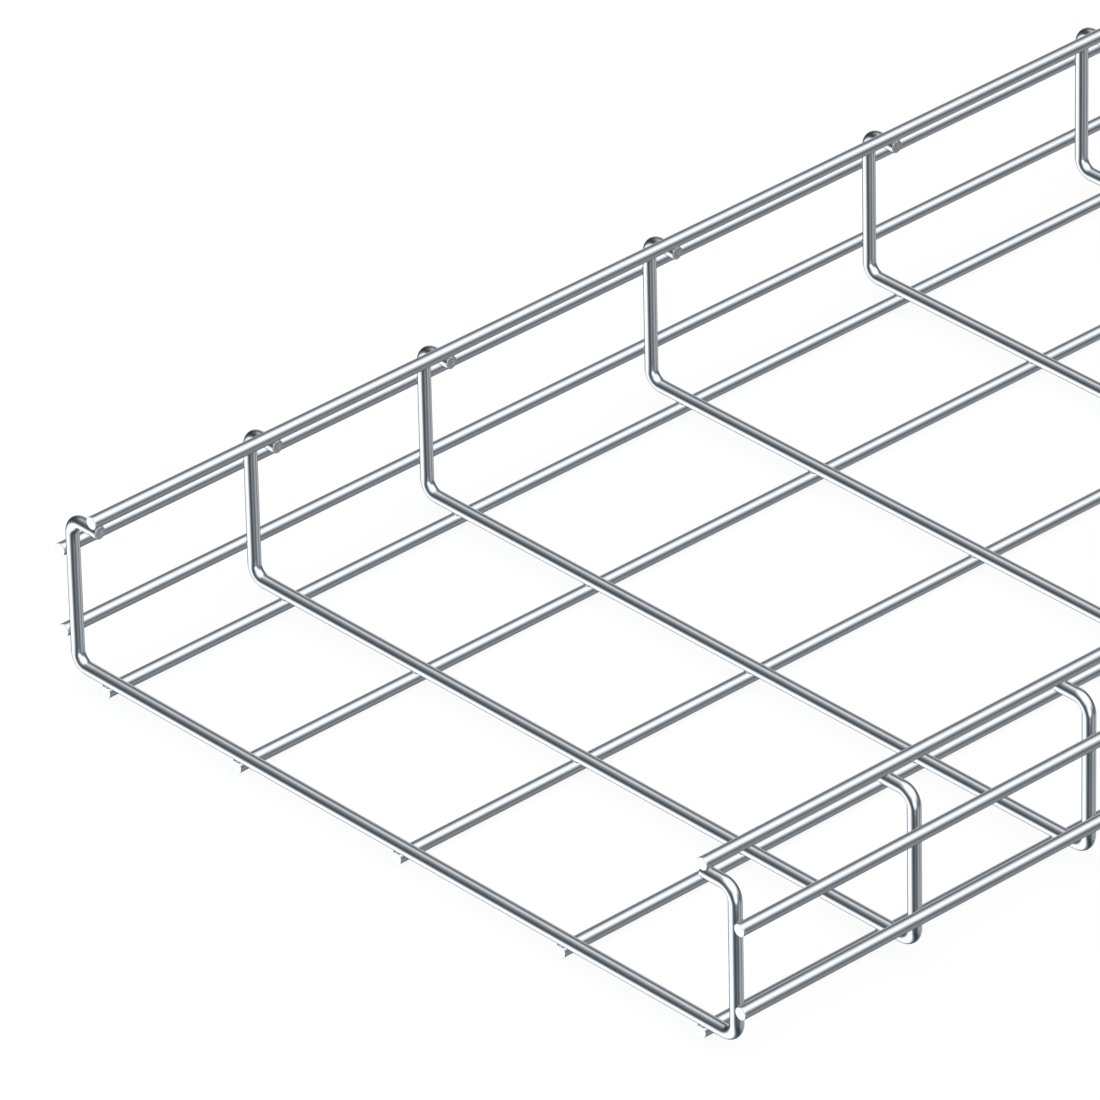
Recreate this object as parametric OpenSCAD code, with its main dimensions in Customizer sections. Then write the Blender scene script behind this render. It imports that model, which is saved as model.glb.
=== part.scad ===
// Wire mesh cable basket: one straight length of welded wire cable tray.
// Bent cross wires form the trough. Straight wires run along it under the
// floor, outside the walls and on top of the turned-in ends, and each is
// welded to every cross wire that it crosses.
// X is across the tray, Y along it and Z up. The origin is in the middle of
// the length and the width, at the underside of the floor wires.

/* [Trough] */
// Clear width between the upright wires of the two walls
clear_width = 297.8; // [180:0.1:600]
// Clear height from the floor run to the top of the turned-in ends
clear_depth = 53.8; // [50:0.1:110]
// How far each cross wire reaches in from the outside of its wall
turn_in = 15.75; // [15.35:0.05:40]
// Inside radius of the bends in a cross wire
bend_inside_r = 2.75; // [2:0.05:5]

/* [Wire] */
// Diameter of every wire
wire_d = 4.5; // [3.5:0.1:5]
// How deep a straight wire is pressed into a cross wire at a weld
weld_depth = 0.57; // [0.05:0.01:0.8]

/* [Cross wires] */
// Spacing of the cross wires along the tray
main_pitch = 100; // [50:1:150]
// Number of bays at the main spacing
main_bays = 27; // [1:1:40]
// Closer spacing of the cross wires at each end
end_pitch = 75; // [40:1:150]
// Number of close bays at each end
end_bays = 2; // [0:1:3]

/* [Straight wires] */
// Spacing of the three middle floor wires
floor_pitch = 74.4; // [30:0.1:80]
// Distance in from the wall's centre line to the outer floor wire
outer_floor_inset = 14.45; // [10:0.05:40]
// Height of the lower side wire above the floor run, centre to centre
lower_side_height = 11.4; // [8:0.1:20]
// Height of the upper side wire above the floor run, centre to centre
upper_side_height = 41.3; // [26:0.1:45]
// Distance in from the wall's centre line to the rim wire
rim_inset = 12; // [8:0.1:12]
// Overhang of the floor wires past the last cross wire's centre line
floor_overhang = 1.6; // [1:0.1:30]
// Overhang of the side and rim wires past the last cross wire's centre line
wall_overhang = 2.3; // [1:0.1:30]

/* [Hidden] */
$fn = 48;
zinc = [0.74, 0.76, 0.78];
bend_r = bend_inside_r + wire_d / 2;
// Centre lines of two crossing wires lie this far apart at their weld
crossing = wire_d - weld_depth;
half_span = (clear_width + wire_d) / 2;
floor_z = wire_d / 2;
run_z = floor_z + crossing;
top_z = run_z + clear_depth;
rim_z = top_z + crossing;
// Length of a straight run at the turned-in end, past its bend
tip = turn_in - wire_d / 2 - bend_r;

bays = 2 * end_bays + main_bays;
cross_count = bays + 1;
span = 2 * end_bays * end_pitch + main_bays * main_pitch;

// Each straight wire: its name, place across, height and overhang
LONG = [
    ["floor_wire_left_outer", outer_floor_inset - half_span, floor_z, floor_overhang],
    ["floor_wire_left_inner", -floor_pitch, floor_z, floor_overhang],
    ["floor_wire_middle", 0, floor_z, floor_overhang],
    ["floor_wire_right_inner", floor_pitch, floor_z, floor_overhang],
    ["floor_wire_right_outer", half_span - outer_floor_inset, floor_z, floor_overhang],
    ["side_wire_left_lower", -half_span - crossing, run_z + lower_side_height, wall_overhang],
    ["side_wire_left_upper", -half_span - crossing, run_z + upper_side_height, wall_overhang],
    ["side_wire_right_lower", half_span + crossing, run_z + lower_side_height, wall_overhang],
    ["side_wire_right_upper", half_span + crossing, run_z + upper_side_height, wall_overhang],
    ["rim_wire_left", rim_inset - half_span, rim_z, wall_overhang],
    ["rim_wire_right", half_span - rim_inset, rim_z, wall_overhang]
];

function bay(i) = i < end_bays || i >= bays - end_bays ? end_pitch : main_pitch;
function station(i) = i == 0 ? -span / 2 : station(i - 1) + bay(i - 1);
function cross_name(i) = str("cross_wire_", i < 9 ? "0" : "", i + 1);

// A straight wire with its cut ends square, its middle at the given place
module wire_along(x, z, length)
    translate([x, length / 2, z]) rotate([90, 0, 0]) cylinder(d = wire_d, h = length);

// A quarter bend about the Y axis, from +X round to +Z
module quarter_bend()
    rotate([90, 0, 0]) rotate_extrude(angle = 90) translate([bend_r, 0]) circle(d = wire_d);

// The right-hand wall of a cross wire: floor bend, upright, top bend, turned-in end
module wall() {
    translate([half_span - bend_r, 0, bend_r]) mirror([0, 0, 1]) quarter_bend();
    translate([half_span, 0, bend_r]) cylinder(d = wire_d, h = clear_depth - 2 * bend_r);
    translate([half_span - bend_r, 0, clear_depth - bend_r]) quarter_bend();
    translate([half_span - bend_r - tip, 0, clear_depth]) rotate([0, 90, 0]) cylinder(d = wire_d, h = tip);
}

module cross_wire(y) color(zinc) difference() {
    translate([0, y, run_z]) {
        translate([bend_r - half_span, 0, 0]) rotate([0, 90, 0])
            cylinder(d = wire_d, h = 2 * (half_span - bend_r));
        wall();
        mirror([1, 0, 0]) wall();
    }
    // A weld seat for each straight wire
    translate([0, y, 0]) for (w = LONG) wire_along(w[1], w[2], 2 * wire_d);
}

module straight_wire(w) color(zinc) wire_along(w[1], w[2], span + 2 * w[3]);

for (w = LONG)
    straight_wire(w);
for (i = [0 : cross_count - 1])
    cross_wire(station(i));
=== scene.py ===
"""Dresses the wire mesh cable basket: bright zinc-coated wires with rounded cut ends,
small weld beads where they cross, and a plain white studio round them."""

from __future__ import annotations

import logging
import math
from collections.abc import Iterable, Mapping
from dataclasses import dataclass, field
from enum import Enum

import bmesh
import bpy
from mathutils import Matrix, Vector

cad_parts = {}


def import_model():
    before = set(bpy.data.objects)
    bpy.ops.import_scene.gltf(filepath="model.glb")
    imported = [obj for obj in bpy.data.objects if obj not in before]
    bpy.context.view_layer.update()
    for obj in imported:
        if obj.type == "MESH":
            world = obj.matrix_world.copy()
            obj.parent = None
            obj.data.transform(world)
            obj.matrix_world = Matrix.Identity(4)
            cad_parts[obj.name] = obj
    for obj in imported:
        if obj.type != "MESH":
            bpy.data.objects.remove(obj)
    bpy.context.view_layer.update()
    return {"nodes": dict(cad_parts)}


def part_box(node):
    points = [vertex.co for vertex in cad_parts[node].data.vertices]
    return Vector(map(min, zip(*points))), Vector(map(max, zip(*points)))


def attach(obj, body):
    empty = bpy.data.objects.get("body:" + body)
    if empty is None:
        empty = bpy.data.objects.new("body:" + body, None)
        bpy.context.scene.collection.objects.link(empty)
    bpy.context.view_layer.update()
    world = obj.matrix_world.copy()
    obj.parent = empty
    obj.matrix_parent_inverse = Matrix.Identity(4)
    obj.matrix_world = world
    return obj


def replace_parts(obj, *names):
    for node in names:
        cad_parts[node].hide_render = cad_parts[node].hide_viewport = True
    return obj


MM = 0.001
ROOT = "root"

# Mesh layers that carry a vertex's place in the straight wire, before bending,
# and how close it lies to a weld
DRAWN = "drawn"
HEAT = "heat"

# Edges that turn by more than this stay crisp
CRISP = math.radians(50)

WHITE = (1.0, 1.0, 1.0, 1.0)
Colour = tuple[float, float, float]

log = logging.getLogger("cable_basket")


# ---------------------------------------------------------------- node trees


class Signal:
    """A number that flows through a node tree, with Python's operators."""

    def __init__(self, recipe: Recipe, socket: bpy.types.NodeSocket) -> None:
        """Keeps the recipe that the number belongs to and its socket."""
        self.recipe = recipe
        self.socket = socket

    def __add__(self, other: Signal | float) -> Signal:
        """Adds a number."""
        return self.recipe.maths("ADD", self, other)

    def __sub__(self, other: Signal | float) -> Signal:
        """Takes a number away."""
        return self.recipe.maths("SUBTRACT", self, other)

    def __rsub__(self, other: float) -> Signal:
        """Takes this from a number."""
        return self.recipe.maths("SUBTRACT", other, self)

    def __mul__(self, other: Signal | float) -> Signal:
        """Multiplies by a number."""
        return self.recipe.maths("MULTIPLY", self, other)

    __radd__ = __add__
    __rmul__ = __mul__

    def exp(self) -> Signal:
        """Raises e to this number."""
        return self.recipe.maths("EXPONENT", self)


class Recipe:
    """Builds the node tree of one material or world."""

    # The sockets of a Mix node that work on colours, by number
    MIX_SHARE, MIX_LOW, MIX_HIGH, MIX_RESULT = 0, 6, 7, 2

    def __init__(self, tree: bpy.types.NodeTree) -> None:
        """Starts from an empty tree.

        Args:
            tree: The node tree to fill.
        """
        self.tree = tree
        self.tree.nodes.clear()

    def node(
        self,
        kind: str,
        settings: Mapping[str, object] | None = None,
        sockets: Mapping[str | int, object] | None = None,
    ) -> bpy.types.Node:
        """Adds one node.

        Args:
            kind: The node's type.
            settings: Its settings, which are made first.
            sockets: The value or link of each input, by name or number.

        Returns:
            The new node.
        """
        made = self.tree.nodes.new(kind)
        for name, value in (settings or {}).items():
            setattr(made, name, value)
        for name, value in (sockets or {}).items():
            if isinstance(value, Signal):
                value = value.socket
            if isinstance(value, bpy.types.NodeSocket):
                self.tree.links.new(value, made.inputs[name])
            else:
                made.inputs[name].default_value = value
        return made

    def maths(self, operation: str, *values: Signal | float) -> Signal:
        """Adds a Math node.

        Args:
            operation: What the node works out.
            values: Its numbers, in order.

        Returns:
            The result.
        """
        made = self.node(
            "ShaderNodeMath", {"operation": operation}, dict(enumerate(values))
        )
        return Signal(self, made.outputs[0])

    def scaled(
        self, vector: bpy.types.NodeSocket, scale: tuple[float, float, float]
    ) -> bpy.types.NodeSocket:
        """Stretches a vector.

        Args:
            vector: The vector's socket.
            scale: The factor for each axis.

        Returns:
            The socket of the stretched vector.
        """
        made = self.node(
            "ShaderNodeVectorMath", {"operation": "MULTIPLY"}, {0: vector, 1: scale}
        )
        return made.outputs[0]

    def noise(
        self, vector: bpy.types.NodeSocket, detail: float, roughness: float
    ) -> Signal:
        """Adds a noise pattern with its middle at 0.

        Args:
            vector: Where the pattern is read, with one cell to each unit.
            detail: The number of finer layers.
            roughness: How strong the finer layers are.

        Returns:
            The pattern, from about -0.5 to 0.5.
        """
        made = self.node(
            "ShaderNodeTexNoise",
            {"noise_dimensions": "3D"},
            {
                "Vector": vector,
                "Scale": 1.0,
                "Detail": detail,
                "Roughness": roughness,
            },
        )
        return Signal(self, made.outputs[0]) - 0.5

    def blend(
        self, share: Signal, low: Colour | bpy.types.NodeSocket, high: Colour
    ) -> bpy.types.NodeSocket:
        """Mixes two colours.

        Args:
            share: How much of the second colour shows.
            low: The first colour, or its socket.
            high: The second colour.

        Returns:
            The socket of the mixed colour.
        """
        if not isinstance(low, bpy.types.NodeSocket):
            low = (*low, 1.0)
        made = self.node(
            "ShaderNodeMix",
            {"data_type": "RGBA", "clamp_factor": True},
            {self.MIX_SHARE: share, self.MIX_LOW: low, self.MIX_HIGH: (*high, 1.0)},
        )
        return made.outputs[self.MIX_RESULT]

    def metal(
        self,
        colour: bpy.types.NodeSocket,
        roughness: Signal,
        height: Signal,
        relief: float,
        depth: float,
    ) -> None:
        """Ends the tree of a bare metal.

        Args:
            colour: The socket of its colour.
            roughness: How dull it is.
            height: The height of its fine detail.
            relief: How strongly that detail shows.
            depth: How deep that detail is.
        """
        bump = self.node(
            "ShaderNodeBump",
            None,
            {"Strength": relief, "Distance": depth, "Height": height},
        )
        shader = self.node(
            "ShaderNodeBsdfPrincipled",
            None,
            {
                "Base Color": colour,
                "Metallic": 1.0,
                "Roughness": roughness,
                "Normal": bump.outputs["Normal"],
            },
        )
        self.node(
            "ShaderNodeOutputMaterial", None, {"Surface": shader.outputs["BSDF"]}
        )


# ------------------------------------------------------------------ finishes


@dataclass(frozen=True)
class Finish:
    """A named material and the way its nodes are mixed."""

    name: str

    def material(self) -> bpy.types.Material:
        """Builds the material.

        Returns:
            The material.
        """
        made = bpy.data.materials.new(self.name)
        made.use_nodes = True
        self.mix(Recipe(made.node_tree))
        return made

    def mix(self, recipe: Recipe) -> None:
        """Fills the node tree, each finish in its own way.

        Args:
            recipe: The empty tree.
        """
        raise NotImplementedError


@dataclass(frozen=True)
class ZincFinish(Finish):
    """Bright zinc on drawn steel wire: fine lines along the wire, soft clouds
    in the coating, and a duller patch where the weld has heated it."""

    name: str = "bright_zinc_wire"
    dull: Colour = (0.68, 0.715, 0.76)
    bright: Colour = (0.85, 0.88, 0.915)
    heated: Colour = (0.60, 0.625, 0.655)
    polish: float = 0.11
    cloud_size: float = 9 * MM
    cloud_tint: float = 0.9
    cloud_haze: float = 0.10
    line_width: float = 0.35 * MM
    line_length: float = 45 * MM
    line_depth: float = 0.012 * MM
    line_relief: float = 0.35
    line_tint: float = 0.5
    line_haze: float = 0.05
    heat_tint: float = 0.5
    heat_haze: float = 0.10

    def mix(self, recipe: Recipe) -> None:
        """Mixes the zinc from its clouds, its lines and the heat of the welds.

        Args:
            recipe: The empty tree.
        """
        place = recipe.node(
            "ShaderNodeAttribute", {"attribute_name": DRAWN}
        ).outputs["Vector"]
        heat = Signal(
            recipe,
            recipe.node("ShaderNodeAttribute", {"attribute_name": HEAT}).outputs["Fac"],
        )
        cloud = 1 / self.cloud_size
        across, along = 1 / self.line_width, 1 / self.line_length
        clouds = recipe.noise(
            recipe.scaled(place, (cloud, cloud, cloud)), detail=3.0, roughness=0.55
        )
        lines = recipe.noise(
            recipe.scaled(place, (across, across, along)), detail=2.0, roughness=0.5
        )
        share = 0.5 + clouds * self.cloud_tint + lines * self.line_tint
        zinc = recipe.blend(share, self.dull, self.bright)
        haze = clouds * self.cloud_haze + lines * self.line_haze + heat * self.heat_haze
        recipe.metal(
            colour=recipe.blend(heat * self.heat_tint, zinc, self.heated),
            roughness=self.polish + haze,
            height=lines + clouds,
            relief=self.line_relief,
            depth=self.line_depth,
        )


@dataclass(frozen=True)
class WeldFinish(Finish):
    """Metal that has run out of a resistance weld: duller and finely grained."""

    name: str = "weld_metal"
    dark: Colour = (0.50, 0.52, 0.545)
    light: Colour = (0.70, 0.72, 0.75)
    polish: float = 0.34
    haze: float = 0.2
    grain: float = 0.4 * MM
    grain_depth: float = 0.05 * MM
    grain_relief: float = 0.5

    def mix(self, recipe: Recipe) -> None:
        """Mixes the weld metal from its grain.

        Args:
            recipe: The empty tree.
        """
        place = recipe.node("ShaderNodeTexCoord").outputs["Object"]
        grain = 1 / self.grain
        grit = recipe.noise(
            recipe.scaled(place, (grain, grain, grain)), detail=2.0, roughness=0.6
        )
        recipe.metal(
            colour=recipe.blend(0.5 + grit, self.dark, self.light),
            roughness=self.polish + grit * self.haze,
            height=grit,
            relief=self.grain_relief,
            depth=self.grain_depth,
        )


@dataclass(frozen=True)
class FloorFinish(Finish):
    """Dark matt paint under a glow of its own, so that the floor is nearly white
    and the shadow on it stays faint."""

    name: str = "floor_white"
    paint: float = 0.15
    glow: float = 0.87

    def mix(self, recipe: Recipe) -> None:
        """Adds the glow to the paint.

        Args:
            recipe: The empty tree.
        """
        matt = recipe.node(
            "ShaderNodeBsdfDiffuse", None, {"Color": (*[self.paint] * 3, 1.0)}
        )
        glow = recipe.node(
            "ShaderNodeEmission", None, {"Color": WHITE, "Strength": self.glow}
        )
        both = recipe.node(
            "ShaderNodeAddShader", None, {0: matt.outputs[0], 1: glow.outputs[0]}
        )
        recipe.node("ShaderNodeOutputMaterial", None, {"Surface": both.outputs[0]})


# -------------------------------------------------------------- wire forming


@dataclass(frozen=True)
class Gauge:
    """The stock that every wire is cut from, its cut ends and its welds."""

    radius: float = 2.25 * MM
    sides: int = 24
    end_chamfer: float = 0.16 * MM
    chamfer_steps: int = 3
    shear_step: float = 0.10 * MM
    shear_inset_share: float = 0.45
    shear_way: tuple[float, float, float] = (1.0, 2.0, 4.0)
    crossing: float = 3.93 * MM
    weld_rings: tuple[float, ...] = (-4 * MM, -1.5 * MM, 1.5 * MM, 4 * MM)
    heat_reach: float = 5 * MM
    heat_falloff: float = 1.5

    def rings(self, places: Iterable[float]) -> list[float]:
        """Gives each weld a few rings of its own, where its heat starts and ends.

        Args:
            places: The welds' distances along a straight.

        Returns:
            The rings' distances along it.
        """
        return [place + ring for place in places for ring in self.weld_rings]


@dataclass(frozen=True)
class Crossing:
    """One weld: the point midway between the two centre lines, and the
    direction from one wire to the other."""

    point: Vector
    normal: Vector


class WireFormer:
    """Draws a round wire along straights and bends, ring by ring."""

    def __init__(self, gauge: Gauge, start: Vector, heading: Vector) -> None:
        """Cuts the first end.

        Args:
            gauge: The stock.
            start: The middle of the cut face.
            heading: The way the wire runs from there.
        """
        self.gauge = gauge
        self.mesh = bmesh.new()
        self.drawn = self.mesh.verts.layers.float_vector.new(DRAWN)
        self.heat = self.mesh.verts.layers.float.new(HEAT)
        self.length = 0.0
        self.centre = start.copy()
        self.heading = heading.normalized()
        ring = bmesh.ops.create_circle(
            self.mesh,
            cap_ends=True,
            segments=gauge.sides,
            radius=gauge.radius,
        )["verts"]
        for vert in ring:
            vert[self.drawn] = vert.co
        turn = self.heading.to_track_quat("Z", "Y").to_matrix().to_4x4()
        bmesh.ops.transform(
            self.mesh, matrix=Matrix.Translation(start) @ turn, verts=ring
        )
        self.rims = [list(self.mesh.edges)]
        self.ring = list(self.mesh.edges)

    def _corners(self) -> list[bmesh.types.BMVert]:
        """Gives the corners of the newest ring."""
        return list(dict.fromkeys(vert for edge in self.ring for vert in edge.verts))

    def _advance(self, made: Iterable[object], step: float) -> None:
        """Takes the newest ring as the end of the wire.

        Args:
            made: The vertices, edges and faces that were made last.
            step: The length of wire from the ring before.
        """
        self.length += step
        self.ring = [part for part in made if isinstance(part, bmesh.types.BMEdge)]
        for vert in self._corners():
            vert[self.drawn] = (*vert[self.drawn].xy, self.length)

    def straight(self, length: float, stops: Iterable[float] = ()) -> None:
        """Runs on in a straight line.

        Args:
            length: How far.
            stops: Distances along this straight that get a ring of their own.
        """
        reached = 0.0
        inner = {stop for stop in stops if 0 < stop < length}
        for stop in [*sorted(inner), length]:
            made = bmesh.ops.extrude_edge_only(self.mesh, edges=self.ring)["geom"]
            bmesh.ops.translate(
                self.mesh,
                vec=self.heading * (stop - reached),
                verts=[part for part in made if isinstance(part, bmesh.types.BMVert)],
            )
            self._advance(made, stop - reached)
            reached = stop
        self.centre += self.heading * length

    def bend(self, radius: float, towards: Vector, steps: int = 9) -> None:
        """Turns through a right angle.

        Args:
            radius: The radius of the centre line.
            towards: The way the wire runs after the bend.
            steps: The number of rings in the bend.
        """
        axis = self.heading.cross(towards)
        middle = self.centre + towards * radius
        angle = math.pi / 2 / steps
        for _ in range(steps):
            made = bmesh.ops.spin(
                self.mesh,
                geom=self.ring + self._corners(),
                cent=middle,
                axis=axis,
                angle=angle,
                steps=1,
                use_merge=False,
                use_duplicate=False,
            )["geom_last"]
            self._advance(made, radius * angle)
        self.centre = middle + self.heading * radius
        self.heading = towards.normalized()

    def cut(self) -> None:
        """Cuts the wire off, rounds both cut edges and leaves a shallow step
        across each cut face, as shears do."""
        bmesh.ops.contextual_create(self.mesh, geom=self.ring)
        self.rims.append(self.ring)
        bmesh.ops.recalc_face_normals(self.mesh, faces=self.mesh.faces)
        bmesh.ops.bevel(
            self.mesh,
            geom=[edge for rim in self.rims for edge in rim],
            offset=self.gauge.end_chamfer,
            segments=self.gauge.chamfer_steps,
            profile=0.5,
            affect="EDGES",
            material=-1,
            clamp_overlap=True,
        )
        # Only the two cut faces have more than four corners
        for cap in [face for face in self.mesh.faces if len(face.verts) > 4]:
            normal = cap.normal.copy()
            bmesh.ops.inset_region(
                self.mesh,
                faces=[cap],
                thickness=self.gauge.radius * self.gauge.shear_inset_share,
                depth=-self.gauge.shear_step,
                use_even_offset=True,
            )
            side = normal.cross(Vector(self.gauge.shear_way)).normalized()
            middle = cap.calc_center_median()
            for vert in cap.verts:
                lean = (vert.co - middle).dot(side) / self.gauge.radius
                vert.co += normal * lean * self.gauge.shear_step

    def warm(self, crossings: Iterable[Crossing]) -> None:
        """Marks the heat of each weld on the vertices round it.

        Args:
            crossings: The welds on this wire.
        """
        points = [crossing.point for crossing in crossings]
        for vert in self.mesh.verts:
            near = min((vert.co - point).length for point in points)
            warmth = max(0.0, 1.0 - near / self.gauge.heat_reach)
            vert[self.heat] = warmth**self.gauge.heat_falloff

    def replace(self, node: str, material: bpy.types.Material) -> None:
        """Shows the wire in place of its CAD node.

        Args:
            node: The CAD node.
            material: The wire's finish.
        """
        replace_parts(shown(self.mesh, f"{node}_drawn", material), node)


def shown(
    mesh: bmesh.types.BMesh, name: str, material: bpy.types.Material
) -> bpy.types.Object:
    """Makes a smooth-shaded object that rides on the basket.

    Args:
        mesh: The finished mesh, which is freed.
        name: The object's name.
        material: Its finish.

    Returns:
        The object.
    """
    data = bpy.data.meshes.new(name)
    for face in mesh.faces:
        face.smooth = True
    mesh.to_mesh(data)
    mesh.free()
    data.set_sharp_from_angle(angle=CRISP)
    data.materials.append(material)
    made = bpy.data.objects.new(name, data)
    # The wires mirror only the studio's lights, not each other
    made.visible_glossy = False
    bpy.context.scene.collection.objects.link(made)
    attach(made, ROOT)
    log.info("%s: %d faces", name, len(data.polygons))
    return made


# ---------------------------------------------------------------- the basket


class Run(Enum):
    """The three groups of straight wires, by how their nodes' names start."""

    FLOOR = "floor_wire"
    SIDE = "side_wire"
    RIM = "rim_wire"


@dataclass
class CrossWires:
    """The bent wires that form the trough."""

    gauge: Gauge
    finish: bpy.types.Material
    nodes: list[str]
    bend_radius: float = 5.0 * MM
    tip_reach: float = 13.5 * MM
    # The ring near the rim's weld, as a share of the straight tip
    tip_ring: float = 0.3
    half_span: float = field(init=False)
    floor_height: float = field(init=False)
    top_height: float = field(init=False)
    stations: list[float] = field(init=False)

    def __post_init__(self) -> None:
        """Reads where the wires lie from the frame."""
        low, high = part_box(self.nodes[0])
        radius = self.gauge.radius
        self.half_span = (high.x - low.x) / 2 - radius
        self.floor_height = low.z + radius
        self.top_height = high.z - radius
        boxes = [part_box(node) for node in self.nodes]
        self.stations = [(low.y + high.y) / 2 for low, high in boxes]

    def build(self, node: str, station: float, welds: list[Crossing]) -> None:
        """Bends one cross wire.

        Args:
            node: The CAD node that it replaces.
            station: Its place along the basket.
            welds: The welds on it.
        """
        bend = self.bend_radius
        tip = self.tip_reach - bend
        upright = self.top_height - self.floor_height - 2 * bend
        floor = 2 * (self.half_span - bend)
        out, down = Vector((-1, 0, 0)), Vector((0, 0, -1))
        start = Vector((self.tip_reach - self.half_span, station, self.top_height))
        wire = WireFormer(self.gauge, start, out)
        rings = self.gauge.rings
        # Where the welds lie along an upright and along the floor
        heights = [
            weld.point.z - self.floor_height - bend for weld in welds if weld.normal.x
        ]
        places = [
            weld.point.x + self.half_span - bend
            for weld in welds
            if weld.point.z < self.floor_height
        ]
        wire.straight(tip, (self.tip_ring * tip,))
        wire.bend(bend, down)
        wire.straight(upright, rings(upright - height for height in heights))
        wire.bend(bend, -out)
        wire.straight(floor, rings(places))
        wire.bend(bend, -down)
        wire.straight(upright, rings(heights))
        wire.bend(bend, out)
        wire.straight(tip, (tip - self.tip_ring * tip,))
        wire.cut()
        wire.warm(welds)
        wire.replace(node, self.finish)


@dataclass
class StraightWires:
    """One group of the wires that run along the basket."""

    gauge: Gauge
    finish: bpy.types.Material
    run: Run
    nodes: list[str]

    def crossing(self, node: str, station: float) -> Crossing:
        """Finds the weld between one of these wires and a cross wire.

        Args:
            node: The straight wire.
            station: The cross wire's place along the basket.

        Returns:
            The weld.
        """
        low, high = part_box(node)
        middle = (low + high) / 2
        middle.y = station
        towards = {
            Run.FLOOR: Vector((0, 0, 1)),
            Run.SIDE: Vector((-math.copysign(1, middle.x), 0, 0)),
            Run.RIM: Vector((0, 0, -1)),
        }[self.run]
        return Crossing(middle + towards * self.gauge.crossing / 2, towards)

    def build(self, node: str, welds: list[Crossing]) -> None:
        """Cuts one straight wire.

        Args:
            node: The CAD node that it replaces.
            welds: The welds on it.
        """
        low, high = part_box(node)
        start = (low + high) / 2
        start.y = low.y
        wire = WireFormer(self.gauge, start, Vector((0, 1, 0)))
        wire.straight(
            high.y - low.y, self.gauge.rings(weld.point.y - low.y for weld in welds)
        )
        wire.cut()
        wire.warm(welds)
        wire.replace(node, self.finish)


@dataclass
class WeldBeads:
    """The metal that each weld squeezes out between its two wires."""

    finish: bpy.types.Material
    width: float = 2.05 * MM
    thickness: float = 0.70 * MM
    sides: int = 10
    rows: int = 5

    def build(self, name: str, welds: list[Crossing]) -> None:
        """Places one flat bead in each weld.

        Args:
            name: The object's name.
            welds: All its welds.
        """
        mesh = bmesh.new()
        for weld in welds:
            turn = weld.normal.to_track_quat("Z", "Y").to_matrix().to_4x4()
            bmesh.ops.create_uvsphere(
                mesh,
                u_segments=self.sides,
                v_segments=self.rows,
                radius=1.0,
                matrix=Matrix.Translation(weld.point)
                @ turn
                @ Matrix.Diagonal((self.width, self.width, self.thickness, 1.0)),
            )
        bmesh.ops.recalc_face_normals(mesh, faces=mesh.faces)
        shown(mesh, name, self.finish)


# ---------------------------------------------------------------- the studio


@dataclass(frozen=True)
class Softbox:
    """A soft light far off, as polished wire reflects it. The tighter it is,
    the smaller it looks."""

    bearing: float
    height: float
    tightness: float
    strength: float

    def direction(self) -> tuple[float, float, float]:
        """Gives the unit vector towards the light.

        Returns:
            The vector. Bearings turn from +X towards +Y, in degrees.
        """
        bearing, height = math.radians(self.bearing), math.radians(self.height)
        return (
            math.cos(height) * math.cos(bearing),
            math.cos(height) * math.sin(bearing),
            math.sin(height),
        )

    def glow(self, recipe: Recipe, way: bpy.types.NodeSocket) -> Signal:
        """Works out how bright the light is in a direction.

        Args:
            recipe: The room's node tree.
            way: The direction.

        Returns:
            The brightness.
        """
        facing = recipe.node(
            "ShaderNodeVectorMath",
            {"operation": "DOT_PRODUCT"},
            {0: way, 1: self.direction()},
        )
        facing = Signal(recipe, facing.outputs["Value"])
        return ((facing - 1.0) * self.tightness).exp() * self.strength


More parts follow.
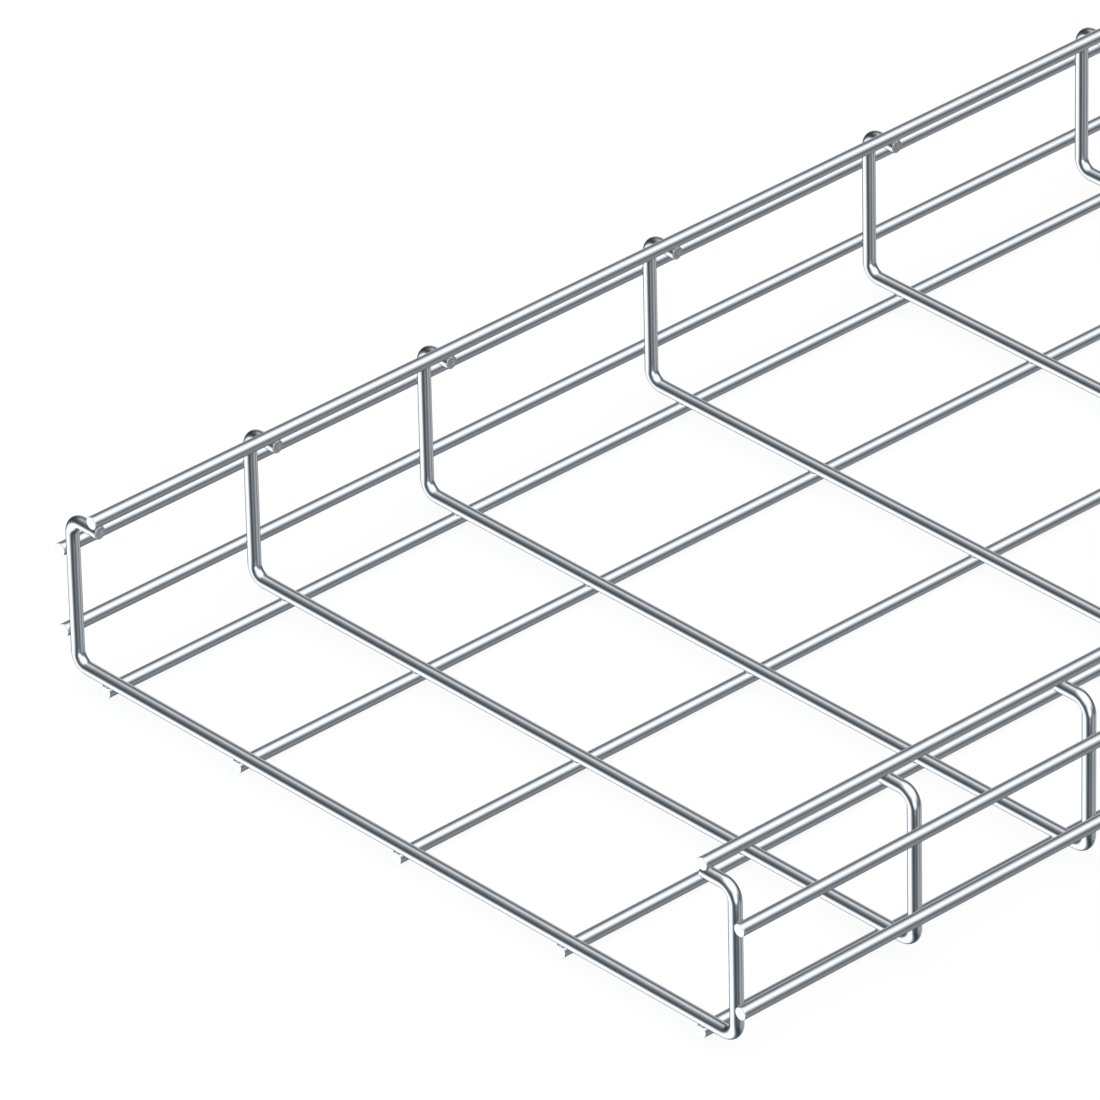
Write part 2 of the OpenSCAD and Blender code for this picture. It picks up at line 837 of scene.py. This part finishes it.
@dataclass(frozen=True)
class Studio:
    """A white room: a pale floor, soft lights and the camera."""

    softboxes: tuple[Softbox, ...] = (
        Softbox(bearing=-8, height=65, tightness=4.5, strength=4.0),
        Softbox(bearing=-27, height=-2, tightness=24, strength=4.0),
        Softbox(bearing=-132, height=-47, tightness=10.7, strength=4.0),
        Softbox(bearing=135, height=-2, tightness=23, strength=0.72),
        Softbox(bearing=170, height=57, tightness=25, strength=0.54),
        Softbox(bearing=81, height=-35, tightness=14, strength=0.56),
        Softbox(bearing=24, height=-32, tightness=24, strength=0.45),
    )
    # The most that the mirrored lights add up to, and the dim room between them
    brightest: float = 1.25
    room: float = 0.03
    room_tint: Colour = (0.70, 1.02, 1.32)
    floor_size: float = 160.0
    floor_cells: int = 8
    # The point that the camera looks at, and where the camera stands from there
    aim: tuple[float, float, float] = (-0.00195, -1.43251, 0.08334)
    bearing: float = 47.745
    height: float = 31.223
    roll: float = 1.338
    distance: float = 3.77974
    lens: float = 399.85
    sensor: float = 36.0
    clip: tuple[float, float] = (0.1, 200.0)

    def light(self) -> None:
        """Lights the room evenly, with the soft lights in its reflections."""
        bpy.context.scene.view_settings.view_transform = "Standard"
        world = bpy.data.worlds.new("white_room")
        world.use_nodes = True
        bpy.context.scene.world = world
        recipe = Recipe(world.node_tree)
        way = recipe.node("ShaderNodeTexCoord").outputs["Generated"]
        glow = sum(box.glow(recipe, way) for box in self.softboxes)
        glossy = Signal(
            recipe, recipe.node("ShaderNodeLightPath").outputs["Is Glossy Ray"]
        )
        mirrored = recipe.maths("MINIMUM", glow, self.brightest) * glossy
        lights = recipe.node(
            "ShaderNodeBackground",
            None,
            {"Color": WHITE, "Strength": mirrored + (1.0 - glossy)},
        )
        walls = recipe.node(
            "ShaderNodeBackground",
            None,
            {"Color": (*self.room_tint, 1.0), "Strength": glossy * self.room},
        )
        both = recipe.node(
            "ShaderNodeAddShader", None, {0: lights.outputs[0], 1: walls.outputs[0]}
        )
        recipe.node("ShaderNodeOutputWorld", None, {"Surface": both.outputs[0]})

    def floor(self) -> None:
        """Lays a white floor that keeps a faint shadow of the basket and stays
        out of the wires' reflections."""
        mesh = bmesh.new()
        bmesh.ops.create_grid(
            mesh,
            x_segments=self.floor_cells,
            y_segments=self.floor_cells,
            size=self.floor_size / 2,
        )
        data = bpy.data.meshes.new("floor")
        mesh.to_mesh(data)
        mesh.free()
        data.materials.append(FloorFinish().material())
        made = bpy.data.objects.new("floor", data)
        made.visible_glossy = False
        bpy.context.scene.collection.objects.link(made)

    def camera(self) -> None:
        """Sets the camera up with a long lens."""
        bearing, height = math.radians(self.bearing), math.radians(self.height)
        back = Vector(
            (
                math.sin(bearing) * math.cos(height),
                -math.cos(bearing) * math.cos(height),
                math.sin(height),
            )
        )
        data = bpy.data.cameras.new("camera")
        data.lens = self.lens
        data.sensor_width = self.sensor
        data.clip_start, data.clip_end = self.clip
        made = bpy.data.objects.new("camera", data)
        made.matrix_world = (
            Matrix.Translation(Vector(self.aim) + back * self.distance)
            @ back.to_track_quat("Z", "Y").to_matrix().to_4x4()
            @ Matrix.Rotation(math.radians(-self.roll), 4, "Z")
        )
        bpy.context.scene.collection.objects.link(made)
        bpy.context.scene.camera = made


def main() -> None:
    """Builds the basket and the studio round it."""
    logging.basicConfig(level=logging.INFO, format="%(name)s: %(message)s")
    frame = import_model()
    nodes = sorted(frame["nodes"])
    gauge = Gauge()
    zinc = ZincFinish().material()

    cross = CrossWires(
        gauge, zinc, [node for node in nodes if node.startswith("cross_wire")]
    )
    beads = WeldBeads(WeldFinish().material())
    welds: dict[str, list[Crossing]] = {node: [] for node in nodes}
    for run in Run:
        wires = StraightWires(
            gauge, zinc, run, [node for node in nodes if node.startswith(run.value)]
        )
        for node in wires.nodes:
            for other, station in zip(cross.nodes, cross.stations):
                weld = wires.crossing(node, station)
                welds[node].append(weld)
                welds[other].append(weld)
            wires.build(node, welds[node])
        log.info("%s: %d wires", run.value, len(wires.nodes))
        beads.build(
            f"{run.value}_weld_beads",
            [weld for node in wires.nodes for weld in welds[node]],
        )
    for node, station in zip(cross.nodes, cross.stations):
        cross.build(node, station, welds[node])
    log.info("cross wires: %d", len(cross.nodes))

    studio = Studio()
    studio.light()
    studio.floor()
    studio.camera()
    log.info("studio ready")


if __name__ == "__main__":
    main()
